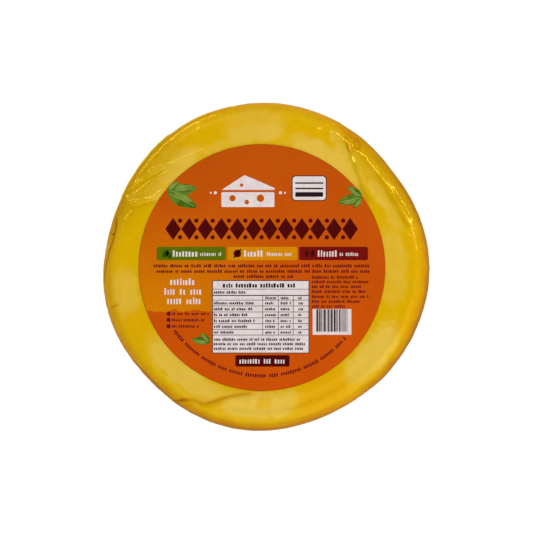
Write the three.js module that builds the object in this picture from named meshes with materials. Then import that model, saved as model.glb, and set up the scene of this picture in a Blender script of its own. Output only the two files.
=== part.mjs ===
// A small wheel of provolone, sealed in clear shrink film, with a round paper label stuck on its top.
// Millimetres, +Z up. The origin is the middle of the flat foot that the wheel rests on, and +Y is
// towards the top edge of the label's print.
import * as THREE from 'three';

// The wrapped wheel, over the film
const MEAN_RADIUS = 57.6; // at the widest girth, averaged round the outline
const HEIGHT = 22.8; // from the foot to the flat top that carries the label
const SHOULDER_ROUND = 7; // rounding between the top and the wall
const FOOT_ROUND = 4; // rounding between the wall and the foot
const DRAFT = 1.4; // how much narrower the wall is at the foot than at the shoulder
const SEAT_RADIUS = 45; // the flat under the label, centred on the wheel
const CROWN_DROP = 0.5; // fall of the top from the seat to the shoulder

// The label
const LABEL_RADIUS = 43.2;
const LABEL_THICKNESS = 0.18;
const LABEL_GLUE = 0.02;
const LABEL_OFFSET = { x: -1.58, y: -0.25 }; // it was stuck on slightly off centre

// The hand-cast outline: gentle swellings round the girth, by how many lobes each has
const OUTLINE_WAVES = [
  { lobes: 2, swell: 0.22, peak: 177 },
  { lobes: 3, swell: 0.55, peak: -36 },
  { lobes: 4, swell: 0.37, peak: 1 },
  { lobes: 5, swell: 0.25, peak: -93 },
  { lobes: 6, swell: 0.21, peak: 78 },
];
// The rim of the top is not level either
const CROWN_WAVES = [
  { lobes: 2, swell: 0.14, peak: 40 },
  { lobes: 3, swell: 0.1, peak: 200 },
  { lobes: 7, swell: 0.06, peak: 15 },
];

// Film folds that run from the wall over the shoulder towards the label: where they cross the girth,
// where they meet the seat, how high they stand (a valley is negative) and how wide they are
const FOLDS = [
  { girth: 58, seat: 27, height: 0.6, width: 1.5 },
  { girth: 67, seat: 61, height: 0.35, width: 1.2 },
  { girth: 155, seat: 121, height: 0.55, width: 1.2 },
  { girth: 160, seat: 144, height: 0.55, width: 1.3 },
  { girth: 195, seat: 193, height: -0.3, width: 1.1 },
  { girth: 237, seat: 264, height: -0.6, width: 1.4 },
  { girth: 320, seat: 313, height: 0.3, width: 1.3 },
];
// Part of a fold's height that is left where it meets the seat, and where it is pulled tight over the
// girth and down the wall
const FOLD_AT_SEAT = 0.45;
const FOLD_AT_GIRTH = 0.25;
// A slack band of film that bulges along the shoulder between two of the folds
const BAND = { from: 13, to: 50, radius: 53.2, height: 0.45, width: 1.3 };
// The four corners of the film sheet, gathered into pleats that are pressed into the wall
const CORNERS = [58, 157, 237, 333];
const GATHER = { spread: 15, pitch: 8, depth: 0.45 };

// Facets
const TURNS = 180;
const STEPS = { foot: 4, wall: 6, shoulder: 8, crown: 5 };
const LABEL_SIDES = 120;

const radians = THREE.MathUtils.degToRad;
const smooth = THREE.MathUtils.smoothstep;
const mix = THREE.MathUtils.lerp;
const bell = (distance, width) => Math.exp(-((distance / width) ** 2));

// The signed angle from one direction to another, in degrees, by the short way round.
function turnBetween(from, to) {
  return ((((to - from) % 360) + 540) % 360) - 180;
}

function waves(list, angle) {
  return list.reduce((sum, w) => sum + w.swell * Math.cos(w.lobes * radians(angle) - radians(w.peak)), 0);
}

function outlineRadius(angle) {
  return MEAN_RADIUS + waves(OUTLINE_WAVES, angle);
}

// Half of the wheel's cross-section, from the middle of the foot out, up the wall and in to the middle of
// the top. Each point has its place, the direction that faces out of the film, and how far it is down
// from the seat along the surface.
function wheelSection() {
  const points = [];
  const add = (radius, height, outward, up) => points.push({ radius, height, outward, up });
  const arc = (centreRadius, centreHeight, round, from, to, steps) => {
    for (let i = 0; i <= steps; i += 1) {
      const a = radians(mix(from, to, i / steps));
      add(centreRadius + round * Math.cos(a), centreHeight + round * Math.sin(a), Math.cos(a), Math.sin(a));
    }
  };
  const shoulderHeight = HEIGHT - CROWN_DROP - SHOULDER_ROUND;
  add(0, 0, 0, -1);
  arc(MEAN_RADIUS - DRAFT - FOOT_ROUND, FOOT_ROUND, FOOT_ROUND, -90, 0, STEPS.foot);
  for (let i = 1; i < STEPS.wall; i += 1) {
    const share = i / STEPS.wall;
    add(MEAN_RADIUS - DRAFT * (1 - share), mix(FOOT_ROUND, shoulderHeight, share), 1, 0);
  }
  arc(MEAN_RADIUS - SHOULDER_ROUND, shoulderHeight, SHOULDER_ROUND, 0, 90, STEPS.shoulder);
  for (let i = 1; i <= STEPS.crown; i += 1) {
    const share = i / STEPS.crown;
    const height = mix(HEIGHT - CROWN_DROP, HEIGHT, smooth(share, 0, 1));
    add(mix(MEAN_RADIUS - SHOULDER_ROUND, SEAT_RADIUS, share), height, 0, 1);
  }
  add(0, HEIGHT, 0, 1);
  const seat = points[points.length - 2];
  let down = 0;
  seat.down = 0;
  for (let i = points.length - 3; i >= 0; i -= 1) {
    const next = points[i + 1];
    down += Math.hypot(points[i].radius - next.radius, points[i].height - next.height);
    points[i].down = down;
  }
  points[points.length - 1].down = 0;
  return points;
}

const section = wheelSection();
const girthDown = section.find((p) => p.radius === MEAN_RADIUS && p.outward === 1).down;
const footDown = section[1].down;

// Each part of the relief below gives how far the film stands off the plain wheel at an angle and a
// point of the section.
function foldRelief(angle, point) {
  const share = Math.min(point.down / girthDown, 1);
  const rise = mix(FOLD_AT_SEAT, 1, smooth(share, 0, 0.4));
  const along = mix(rise, FOLD_AT_GIRTH, smooth(share, 0.6, 1));
  return FOLDS.reduce((stand, fold) => {
    const turn = turnBetween(mix(fold.seat, fold.girth, share), angle);
    const run = radians(turnBetween(fold.seat, fold.girth)) * MEAN_RADIUS;
    const slant = share < 1 ? Math.cos(Math.atan2(run, girthDown)) : 1;
    return stand + fold.height * along * bell(radians(turn) * point.radius * slant, fold.width);
  }, 0);
}

function bandRelief(angle, point) {
  const halfTurn = (BAND.to - BAND.from) / 2;
  const off = Math.abs(turnBetween(BAND.from + halfTurn, angle));
  const ends = 1 - smooth(off, halfTurn * 0.6, halfTurn);
  return point.up > 0 ? BAND.height * bell(point.radius - BAND.radius, BAND.width) * ends : 0;
}

function gatherRelief(angle, point) {
  const onWall = smooth(point.down, girthDown, girthDown + 3);
  return CORNERS.reduce((stand, corner) => {
    const turn = turnBetween(corner, angle);
    const pleats = (1 - Math.cos((2 * Math.PI * turn) / GATHER.pitch)) / 2;
    return stand - GATHER.depth * pleats * bell(turn, GATHER.spread) * onWall;
  }, 0);
}

function relief(angle, point) {
  const onFilm = smooth(point.down, 0, 2) * (1 - smooth(point.down, footDown - 7, footDown - 1));
  return onFilm * (foldRelief(angle, point) + bandRelief(angle, point) + gatherRelief(angle, point));
}

// The wheel is a lathe turned from the plain section. Each vertex then moves out with the uneven
// outline and off the surface with the folds.
function wrappedWheel() {
  const profile = section.map((p) => new THREE.Vector2(p.radius, p.height));
  const geometry = new THREE.LatheGeometry(profile, TURNS);
  const position = geometry.getAttribute('position');
  for (let i = 0; i < position.count; i += 1) {
    const point = section[i % section.length];
    const angle = (Math.floor(i / section.length) % TURNS) * (360 / TURNS);
    const stand = relief(angle, point);
    const outline = outlineRadius(angle) / MEAN_RADIUS;
    const radius = point.radius * outline + stand * point.outward;
    const onCrown = smooth(point.down, 0, 6) * Math.max(point.up, 0);
    const height = point.height + stand * Math.max(point.up, 0) + waves(CROWN_WAVES, angle) * onCrown;
    position.setXYZ(i, radius * Math.cos(radians(angle)), radius * Math.sin(radians(angle)), height);
  }
  geometry.deleteAttribute('normal');
  geometry.deleteAttribute('uv');
  geometry.computeVertexNormals();
  return geometry;
}

// The middle of the outline's bounding box, which the origin stands under.
function outlineMiddle(geometry) {
  geometry.computeBoundingBox();
  return geometry.boundingBox.getCenter(new THREE.Vector3()).setZ(0);
}

const filmOverCheese = new THREE.MeshStandardMaterial({ color: '#dbae14', roughness: 0.25, metalness: 0 });
const printedPaper = new THREE.MeshStandardMaterial({ color: '#c65408', roughness: 0.5, metalness: 0 });

const wheelGeometry = wrappedWheel();
const wheel = new THREE.Mesh(wheelGeometry, filmOverCheese);
wheel.name = 'wrapped_cheese';
wheel.position.copy(outlineMiddle(wheelGeometry)).negate();

const labelGeometry = new THREE.CylinderGeometry(LABEL_RADIUS, LABEL_RADIUS, LABEL_THICKNESS, LABEL_SIDES);
labelGeometry.rotateX(Math.PI / 2);
const label = new THREE.Mesh(labelGeometry, printedPaper);
label.name = 'label';
label.position.set(LABEL_OFFSET.x, LABEL_OFFSET.y, HEIGHT + LABEL_GLUE + LABEL_THICKNESS / 2);

const provolone = new THREE.Group();
provolone.add(wheel, label);

export default provolone;
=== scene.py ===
import math
import random
from collections import namedtuple

import bpy
import numpy as np
from mathutils import Matrix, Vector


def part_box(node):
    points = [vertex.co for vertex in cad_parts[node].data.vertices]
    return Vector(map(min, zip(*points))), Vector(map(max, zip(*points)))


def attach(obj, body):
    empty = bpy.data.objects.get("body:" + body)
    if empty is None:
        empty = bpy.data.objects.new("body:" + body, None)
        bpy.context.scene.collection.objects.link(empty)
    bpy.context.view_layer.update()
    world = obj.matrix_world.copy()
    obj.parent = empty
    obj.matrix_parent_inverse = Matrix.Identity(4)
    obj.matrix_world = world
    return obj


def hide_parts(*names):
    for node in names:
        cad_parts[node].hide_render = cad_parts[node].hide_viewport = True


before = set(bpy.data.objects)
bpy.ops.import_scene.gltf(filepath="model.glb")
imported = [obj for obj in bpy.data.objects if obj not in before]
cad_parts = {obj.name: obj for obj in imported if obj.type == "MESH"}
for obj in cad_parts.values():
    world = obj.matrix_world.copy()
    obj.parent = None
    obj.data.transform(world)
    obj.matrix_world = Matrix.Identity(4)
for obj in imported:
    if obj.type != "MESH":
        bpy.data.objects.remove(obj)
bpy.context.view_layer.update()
LABEL_LOW, LABEL_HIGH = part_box("label")
MM = 0.001

# The wheel over its film, in millimetres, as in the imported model
MEAN_RADIUS = 57.6
HEIGHT = 22.8
SHOULDER_ROUND = 7.0
FOOT_ROUND = 4.0
DRAFT = 1.4
SEAT_RADIUS = 45.0
CROWN_DROP = 0.5
OUTLINE_WAVES = [(2, 0.22, 177), (3, 0.55, -36), (4, 0.37, 1), (5, 0.25, -93), (6, 0.21, 78)]
CROWN_WAVES = [(2, 0.14, 40), (3, 0.10, 200), (7, 0.06, 15)]
CORNERS = [58, 157, 237, 333]

# Small swellings of the outline over the film's folds: direction, swell, spread in degrees
OUTLINE_SWELLS = [
    (36, -0.19, 5), (52, 0.16, 7), (239, 0.22, 9), (73, -0.12, 9), (173, -0.12, 4), (317, 0.24, 5),
    (342, -0.13, 5), (132, -0.36, 14), (105, -0.20, 6),
]

# How far the cheese lies under the film, and how much of the film's ridges it follows
FILM_GAP = 0.15
CHEESE_FOLLOWS = 0.8
# The hollow of the film inside the ring of the foot, and the share of it that is left under its folds
FOOT_HOLLOW = 0.45
FOOT_RING = 47.0
LEAST_HOLLOW = 0.12

# Facets of the wheel: turns round it and steps along its section. The fine steps of the seat end this far
# inside its edge, and a few wide ones lead on to the middle under the label.
TURNS = 800
SECTION_STEPS = {"under": 46, "foot": 8, "wall": 16, "shoulder": 26, "crown": 14, "seat": 10}
SEAT_EDGE = 4.5
SEAT_MIDDLE = (34.0, 20.0, 0.0)
# The radius at which the film is unrolled to measure along it
UNROLL_RADIUS = 54.0

# A fold line of the film. Its points are a direction in degrees and a reach in millimetres: the distance
# from the axis seen from above, or past the girth the girth's radius plus the depth below it.
# form: ridge, valley or lap, where a lap is the edge of a raised second layer on the line's left, or tight,
# where the film is pulled flat along the line at the slant that shines from above.
Fold = namedtuple("Fold", "form height width points")
SHINE_SLANT = 19.5
# How far each side of its line a fold is worked out, how long its ends taper, how far a lap takes to fall
# back to the film, and how pointed a valley is
NEAR_FOLD = 4.0
NEAR_LAP = 9.0
FOLD_TAPER = 2.2
LAP_FALL = 2.0
VALLEY_POWER = 1.3

# Lines that more than one fold or colour follows
SLACK_EDGE = [
    (47.5, 54.6), (45.7, 54.1), (43.8, 54.2), (41.1, 53.7), (38.7, 54.2), (36.4, 54.3), (34.3, 53.6),
    (31.4, 52.9), (27.8, 52.2), (24.7, 52.4), (21.2, 52.6), (17.5, 53.2), (14.5, 54.2), (11, 55.4),
]
LEFT_PUCKER = [(160, 57.0), (163, 55.9), (165.8, 55.3), (168, 55.6), (167, 57.3)]
LEFT_CREASE = [(166, 55.2), (170, 55.3), (174.2, 55.9), (179.9, 56.5), (187, 57.3)]
LOW_CREASE = [(214, 57.3), (218, 56.9), (222.5, 56.6), (227, 56.6), (233, 57.3)]
LONG_CREASE = [
    (236, 60), (236, 57.3), (238, 55.1), (241.4, 52.9), (245.9, 52.1), (248.8, 50.1), (252.6, 47.5),
    (257.9, 45.2), (265.5, 43.6),
]
TOP_FOLDS = [
    # The right corner: a lap from the rim to the label, and slack film that stands along the shoulder
    Fold("lap", 0.20, 0.32, [(62.5, 59.5), (60.6, 55.7), (57.2, 53.9), (55.3, 52.1), (52.0, 50.2),
                             (48.1, 48.4), (43.9, 46.9), (39.0, 44.8), (34.1, 43.4), (29.1, 42.7)]),
    Fold("tight", 0.03, 0.80, SLACK_EDGE),
    Fold("ridge", 0.26, 0.85, [(angle, reach + 1.7) for angle, reach in SLACK_EDGE]),
    Fold("valley", 0.20, 0.80, [(42, 51.4), (38, 51.2), (33, 50.6), (28.3, 50.0), (22.3, 50.3), (16.3, 51.2),
                                (11, 53.0)]),
    Fold("ridge", 0.25, 0.50, [(50.8, 56.4), (49.7, 56.1), (48.2, 55.5), (46.4, 55.6)]),
    Fold("ridge", 0.20, 0.40, [(62, 55.5), (61.8, 53.5), (63, 51.6), (66, 50.4)]),
    # The left corner: two ridges that fan out from the rim, with a dark crease under the upper one
    Fold("ridge", 0.32, 0.62, [(114, 44.0), (118.9, 46.0), (125.1, 46.7), (131.5, 48.8), (136.3, 51.0),
                               (140.5, 52.4), (144.7, 53.2), (149.3, 54.5), (153, 56.3), (154.5, 57.1)]),
    Fold("valley", 0.26, 0.55, [(134, 48.4), (139, 50.2), (142.5, 51.6), (147, 53.1), (151.5, 55.0),
                                (154.5, 56.9)]),
    Fold("ridge", 0.32, 0.62, [(142, 43.9), (143.7, 45.4), (146, 46.1), (148.6, 47.0), (151.4, 49.8),
                               (153.9, 52.2), (156, 54.5), (158, 56.8)]),
    Fold("valley", 0.22, 0.50, [(147, 44.8), (151.5, 47.4), (155.6, 51.0), (158.8, 54.2), (162, 57)]),
    Fold("ridge", 0.50, 0.45, [(125, 57.0), (127.9, 56.9), (133.6, 56.8), (138.2, 56.6), (142.0, 56.5),
                               (146.2, 56.4), (150.3, 56.2), (154, 56.1)]),
    Fold("ridge", 1.10, 2.10, [(100, 56.4), (110, 56.3), (122, 56.2), (134, 56.0), (146, 55.8),
                               (156, 56.2)]),
    # Puckers on the left rim
    Fold("valley", 0.30, 0.35, LEFT_PUCKER),
    Fold("valley", 0.28, 0.32, LEFT_CREASE),
    Fold("ridge", 0.10, 0.40, [(162, 56.6), (164.5, 55.4), (169, 54.7), (174, 55.2)]),
    Fold("valley", 0.18, 0.35, [(195.2, 60), (194.9, 57), (194.6, 54.5), (194.3, 51.5)]),
    Fold("valley", 0.24, 0.35, LOW_CREASE),
    # The lower corner: one long crease from the rim to the label
    Fold("valley", 0.18, 0.85, [(235.5, 58.2), (236, 57.2), (238, 55.1), (241.4, 52.9), (245.9, 52.1),
                                (248.8, 50.1), (252.6, 47.5), (257.9, 45.2), (265.5, 43.6), (272, 42.6)]),
    Fold("ridge", 0.24, 0.50, [(240, 57.0), (243, 54.6), (247.5, 53.6), (251.5, 51.0), (255, 48.6)]),
    Fold("ridge", 0.20, 0.40, [(257, 57.5), (260, 57.0), (262, 57.4)]),
    Fold("ridge", 0.22, 0.35, [(303, 57.1), (309, 56.5), (315, 56.0), (321, 56.1), (326, 56.9)]),
    Fold("valley", 0.22, 0.35, [(305, 57.5), (311, 57.1), (318, 56.7), (324, 57.1)]),
    Fold("valley", 0.20, 0.40, [(330, 58.5), (333, 57.2), (338, 56.8), (344, 57.3)]),
]
# Streaks where the film is drawn tight and wet against the cheese, which looks deeper there; the same tint
# is painted shade along the folds: strength, half width and points as above
WET_SHADE_STREAKS = [
    (0.9, 1.0, [(59.5, 55.0), (55.0, 51.2), (50.0, 48.4), (44, 46.4), (38, 44.4), (30, 43.2)]),
    (0.8, 0.9, [(44, 52.2), (38, 52.2), (32, 51.4), (26, 51.0), (20, 51.4), (14, 53.2)]),
    (0.5, 1.0, [(43, 55.2), (36, 55.4), (30, 54.6), (22, 54.4), (14, 55.8)]),
    (0.9, 1.1, [(134, 48.3), (139, 50.2), (143, 51.8), (148, 53.4), (152.5, 55.4), (155.5, 57.2)]),
    (0.6, 0.9, [(147, 44.6), (151.5, 47.4), (155.6, 51.0), (158.8, 54.2), (162, 57)]),
    (0.8, 0.6, LEFT_PUCKER),
    (0.8, 0.5, LEFT_CREASE),
    (0.8, 0.8, LONG_CREASE),
    (0.5, 0.5, LOW_CREASE),
]
STREAK_TAPER = 3.0
# Where the film lies in several layers round a gathered corner, deeper yellow, a tint that also paints the
# shade there: direction, half turn, reach, half reach, strength
WET_SHADE_ZONES = [(38, 27, 54.6, 7.0, 0.6), (144, 24, 54.6, 8.0, 0.6)]
# Small blisters of slack film: direction, reach, half size, height
BLISTERS = [
    (84.4, 56.1, 1.4, 0.30), (70.0, 51.6, 1.4, 0.36), (61.5, 53.8, 1.5, 0.22), (59.0, 52.6, 1.2, 0.16),
    (64.6, 52.8, 1.4, 0.18), (54.6, 49.2, 1.3, 0.50), (51.4, 48.2, 1.2, 0.46), (47.4, 53.4, 0.9, 0.16),
    (49.6, 54.8, 0.6, 0.16), (131.0, 56.9, 0.6, 0.15), (28.0, 56.4, 0.8, 0.22), (19.0, 55.4, 0.8, 0.20),
]
# The oval bubble near the right corner: direction, reach, half width, half length and tilt, and the height
# and the softness of its rim
BUBBLE = (53.2, 54.3, 1.8, 2.8, -37)
BUBBLE_HEIGHT = 0.21
BUBBLE_RIM = 0.28
# Low ripples past the label, and coarser ones on the wall as well
RIPPLE_HEIGHT = 0.05
RIPPLE_PITCH = 9.0
WALL_RIPPLE_HEIGHT = 0.12
WALL_RIPPLE_PITCH = 14.0
# Fine crinkles: direction, half turn, reach, half reach, height. Those higher than WET_SHADE_CRINKLE
# draw the film wet against the cheese in their dips, a deeper tint that is also painted shade there.
CRINKLES = [
    (21, 13, 56.4, 2.0, 0.16), (56, 8, 55.6, 2.2, 0.12), (158, 14, 56.5, 2.5, 0.12),
    (237, 14, 57.5, 2.5, 0.07), (315, 14, 57.0, 1.6, 0.06), (333, 12, 60.0, 3.0, 0.07),
]
CRINKLE_PITCH = 2.6
WET_SHADE_CRINKLE = 0.1
# The pleats that gather each corner of the film down the wall: how many lie each side of the middle one,
# how many degrees apart they start and end, how far under the girth the middle one starts, how much lower
# each next one starts, and their form in the middle
PLEATS = 4
PLEAT_SPREAD = 3.6
PLEAT_MEET = 1.3
PLEAT_START = 0.8
PLEAT_STEP = 0.5
PLEAT_HEIGHT = {"ridge": 0.45, "valley": 0.80}
PLEAT_WIDTH = 0.95
# The film's heat-sealed fin, crimped, which lies flat across the middle of the underside
FIN_Y = 1.5
FIN_HALF_WIDTH = 4.5
FIN_HALF_LENGTH = 48.0
FIN_HEIGHT = 0.14
CRIMP_HEIGHT = 0.06
CRIMP_PITCH = 1.4
# The film's four corners, folded in under the wheel: where their tips lie, how fast they widen outwards,
# how high they lie and how high their pleats are
EAR_TIP = 20.0
EAR_WIDENS = 0.45
EAR_HEIGHT = 0.10
EAR_PLEAT = 0.07

# Where the cheese has dried paler under slack film, and where it is a deeper orange: direction, half turn,
# reach, half reach, strength
PALE_PATCHES = [
    (320, 17.0, 48.6, 5.4, 1.0), (267, 18.0, 48.0, 5.0, 0.95), (231, 21.0, 46.9, 4.6, 0.85),
    (190, 11.0, 49.5, 5.0, 0.5), (3, 15.0, 44.6, 4.2, 0.5), (350, 9.0, 45.0, 4.0, 0.35),
    (31, 9.0, 47.8, 2.6, 0.7), (22, 8.0, 48.2, 2.6, 0.55), (44, 8.0, 49.6, 1.8, 0.4),
    (58, 22.0, 44.6, 3.6, 0.95), (54, 6.0, 48.6, 3.0, 0.85), (60, 3.4, 52.0, 2.4, 0.6),
    (94, 12.5, 50.0, 5.6, 0.4), (94, 13.0, 46.2, 4.0, 0.75), (112, 7.0, 44.4, 2.2, 0.4),
    (130, 12.0, 46.6, 4.0, 0.75), (134, 9.0, 51.8, 2.6, 0.4), (145, 6.5, 47.6, 3.6, 0.55),
    (151, 4.0, 52.4, 2.4, 0.4),
]
DEEP_PATCHES = [
    (294, 12.0, 50.0, 9.0, 0.85), (342, 12, 54.0, 5.0, 0.5), (55, 8, 55.8, 2.6, 0.9),
    (240, 6, 56.2, 2.6, 1.0), (252, 14, 57.8, 2.6, 0.7), (160, 6, 57.0, 2.4, 0.7),
    (4, 16, 54.0, 4.0, 0.35), (205, 6, 49.0, 5.0, 0.35), (268.5, 3.2, 46.8, 2.4, 0.45),
]
# Painted shade in the creases, amber along the fold lines: strength, half width and points of the fold lines
CREASE_SHADE_STREAKS = [
    (0.34, 0.90, LONG_CREASE),
    (0.7, 0.9, [(235.5, 60), (236, 57.3), (238, 55.1), (241, 53.2)]),
    (1.0, 0.40, LEFT_PUCKER),
    (1.0, 0.35, LEFT_CREASE),
    (0.55, 0.5, [(195.2, 58), (194.9, 57), (194.6, 54.5), (194.3, 51.5)]),
    (1.0, 0.35, LOW_CREASE),
    (0.8, 0.50, [(233, 57.6), (241, 57.4), (250, 57.2), (258, 57.2), (263, 57.6)]),
    (0.7, 0.35, [(311, 57.0), (315, 56.5), (319, 56.2), (323, 56.6)]),
    (0.7, 0.35, [(350, 57.2), (355, 56.9), (1, 57.2)]),
    (0.5, 0.60, [(59.5, 55.0), (56.0, 52.0), (52.0, 49.6)]),
    (0.6, 0.35, [(14.5, 57.2), (15.8, 56.3), (17.5, 56.0)]),
]
# Painted shade in the valleys of the pleats down the wall, amber too: strength and half width
PLEAT_SHADE = (0.35, 0.6)
# The rim turns amber between these reaches, partly the rind's own tone and partly painted shade of the
# rounded edge: on average this strongly, and by RIM_SHADE_LEAN more towards RIM_SHADED_SIDE, a painted
# shade of the side turned from the light. A brown painted shade lies at the girth
RIM_DEEPENS = (53.0, 56.9)
RIM_STRENGTH = 0.50
RIM_SHADE_LEAN = 0.22
RIM_SHADED_SIDE = 310
GIRTH_SHADE = (56.8, 57.45)
# Where the rim is more or less amber than that: direction, how much more, spread in degrees
RIM_CHANGES = [
    (30, 0.06, 26), (140, -0.13, 16), (229, 0.13, 26), (262, 0.08, 14), (301, -0.12, 15), (345, 0.10, 20),
]

# The label, in millimetres from its centre: x to the right of the print, y to its top
LABEL_RADIUS = 1000 * (LABEL_HIGH[0] - LABEL_LOW[0]) / 2
LABEL_X = 1000 * (LABEL_HIGH[0] + LABEL_LOW[0]) / 2
LABEL_Y = 1000 * (LABEL_HIGH[1] + LABEL_LOW[1]) / 2
# The print lies slightly off the middle of the cut paper
PRINT_X = LABEL_X + 0.30
PRINT_Y = LABEL_Y + 0.03
# Takes a shape from the middle of the print back to the axis
PRINT_TO_AXIS = Matrix.Translation((-PRINT_X * MM, -PRINT_Y * MM, 0))
PAPER_TOP = 1000 * LABEL_HIGH[2]
INK_FILM = 0.02
LABEL_SIDES = 256


# Numbers and curves


def turn_between(start, end):
    """The signed angle from one direction to another, in degrees, by the short way round."""
    return (end - start + 540.0) % 360.0 - 180.0


def smoothstep(low, high, value):
    share = np.clip((value - low) / (high - low), 0.0, 1.0)
    return share * share * (3.0 - 2.0 * share)


def mix(low, high, share):
    return low + (high - low) * share


def bell(distance, width):
    return np.exp(-(distance / width) ** 2)


def waves(lobed, angle):
    """The sum of waves round the wheel: each has its number of lobes, its swell and its peak in degrees."""
    return sum(swell * np.cos(lobes * np.radians(angle) - math.radians(peak))
               for lobes, swell, peak in lobed)


def changed(value, changes, angle):
    """A value with soft changes round the wheel: each has its direction, how much it adds and its spread in
    degrees."""
    for direction, more, spread in changes:
        value = value + more * bell(turn_between(direction, angle), spread)
    return value


def polar(radius, angle):
    """The x and y of a radius in a direction in degrees."""
    return radius * np.cos(np.radians(angle)), radius * np.sin(np.radians(angle))


def wheel_section(steps):
    """Half of the wheel's cross-section in millimetres, from the middle of the foot out, up the wall and in
    to the middle of the top: radius, height, the outward and upward parts of its normal, and the distance
    down the surface from the seat of the label."""
    points = []
    foot_flat = MEAN_RADIUS - DRAFT - FOOT_ROUND
    for i in range(steps["under"]):
        points.append((foot_flat * i / steps["under"], 0.0, 0.0, -1.0))
    for i in range(steps["foot"] + 1):
        a = math.radians(mix(-90, 0, i / steps["foot"]))
        radius = foot_flat + FOOT_ROUND * math.cos(a)
        points.append((radius, FOOT_ROUND * (1 + math.sin(a)), math.cos(a), math.sin(a)))
    shoulder_height = HEIGHT - CROWN_DROP - SHOULDER_ROUND
    for i in range(1, steps["wall"]):
        share = i / steps["wall"]
        points.append((MEAN_RADIUS - DRAFT * (1 - share), mix(FOOT_ROUND, shoulder_height, share), 1.0, 0.0))
    for i in range(steps["shoulder"] + 1):
        a = math.radians(90 * i / steps["shoulder"])
        radius = MEAN_RADIUS - SHOULDER_ROUND * (1 - math.cos(a))
        points.append((radius, shoulder_height + SHOULDER_ROUND * math.sin(a), math.cos(a), math.sin(a)))
    for i in range(1, steps["crown"] + 1):
        share = i / steps["crown"]
        height = mix(HEIGHT - CROWN_DROP, HEIGHT, smoothstep(0, 1, share))
        points.append((mix(MEAN_RADIUS - SHOULDER_ROUND, SEAT_RADIUS, share), float(height), 0.0, 1.0))
    seat = len(points) - 1
    for i in range(1, steps["seat"] + 1):
        points.append((SEAT_RADIUS - SEAT_EDGE * i / steps["seat"], HEIGHT, 0.0, 1.0))
    for radius in SEAT_MIDDLE:
        points.append((radius, HEIGHT, 0.0, 1.0))
    section = np.array(points)
    pace = np.hypot(np.diff(section[:, 0]), np.diff(section[:, 1]))
    run = np.concatenate([[0.0], np.cumsum(pace)])
    return np.column_stack([section, run[seat] - run])


SECTION = wheel_section(SECTION_STEPS)
GIRTH_DOWN = float(SECTION[SECTION[:, 0] >= MEAN_RADIUS - 1e-9][0, 4])
FOOT_DOWN = float(SECTION[SECTION_STEPS["under"], 4])
TOP_SIDE = SECTION[SECTION[:, 4] <= GIRTH_DOWN + 1e-9][::-1]


def down_at(reach):
    """The distance down the surface from the seat at a reach."""
    if reach > MEAN_RADIUS:
        return GIRTH_DOWN + reach - MEAN_RADIUS
    return float(np.interp(reach, TOP_SIDE[:, 0], TOP_SIDE[:, 4]))


SHOULDER_DOWN = down_at(MEAN_RADIUS - SHOULDER_ROUND)


def smooth_line(points, steps=5):
    """A Catmull-Rom curve through the points."""
    ends = [2 * points[0] - points[1]] + list(points) + [2 * points[-1] - points[-2]]
    line = []
    for a, b, c, d in zip(ends, ends[1:], ends[2:], ends[3:]):
        for i in range(steps):
            t = i / steps
            line.append(0.5 * (2 * b + (c - a) * t + (2 * a - 5 * b + 4 * c - d) * t**2
                               + (3 * b - a - 3 * c + d) * t**3))
    line.append(points[-1])
    return line


# The relief of the film


def unroll(start, angle):
    """How far a direction lies round the film from a starting one, in millimetres on the unrolled film."""
    return np.radians(turn_between(start, angle)) * UNROLL_RADIUS


def from_line(points, angle, down, margin):
    """For each point of the film: whether it is near a fold line, and for those that are, the signed
    distance from the line and how far along it the nearer end is, in millimetres on the unrolled film."""
    start = points[0][0]
    line = smooth_line([np.array([unroll(start, a), down_at(reach)]) for a, reach in points])
    place = np.column_stack([unroll(start, angle), down])
    low = np.min(line, axis=0) - margin
    high = np.max(line, axis=0) + margin
    near = np.all((place > low) & (place < high), axis=1)
    place = place[near]
    best = np.full(len(place), 1e9)
    signed = np.full(len(place), 1e9)
    along = np.zeros(len(place))
    run = 0.0
    for p, q in zip(line, line[1:]):
        step = q - p
        length = np.hypot(*step)
        share = np.clip((place - p) @ step / length**2, 0.0, 1.0)
        offset = place - p - share[:, None] * step
        distance = np.hypot(offset[:, 0], offset[:, 1])
        nearer = distance < best
        side = np.where(step[0] * offset[:, 1] - step[1] * offset[:, 0] < 0, -1.0, 1.0)
        best = np.where(nearer, distance, best)
        signed = np.where(nearer, distance * side, signed)
        along = np.where(nearer, run + share * length, along)
        run += length
    return near, signed, np.minimum(along, run - along)


def fold_relief(fold, angle, down):
    """Where one fold is, and how far it lifts the film there."""
    margin = NEAR_LAP if fold.form == "lap" else NEAR_FOLD
    near, signed, to_end = from_line(fold.points, angle, down, margin)
    if fold.form == "lap":
        raised = smoothstep(-fold.width, fold.width, signed)
        lift = fold.height * (raised * np.exp(-np.maximum(signed, 0.0) / LAP_FALL))
    elif fold.form == "tight":
        outward = signed * math.copysign(1.0, turn_between(fold.points[0][0], fold.points[-1][0]))
        slant = np.clip((down[near] - outward - SHOULDER_DOWN) / SHOULDER_ROUND, 0.0, 0.5 * math.pi)
        level = outward * np.tan(slant - math.radians(SHINE_SLANT)) + fold.height * outward**2
        lift = level * bell(outward, fold.width)
    elif fold.form == "valley":
        lift = -fold.height * np.exp(-(np.abs(signed) / fold.width) ** VALLEY_POWER)
    else:
        lift = fold.height * bell(signed, fold.width)
    return near, lift * smoothstep(0.0, FOLD_TAPER, to_end)


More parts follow.
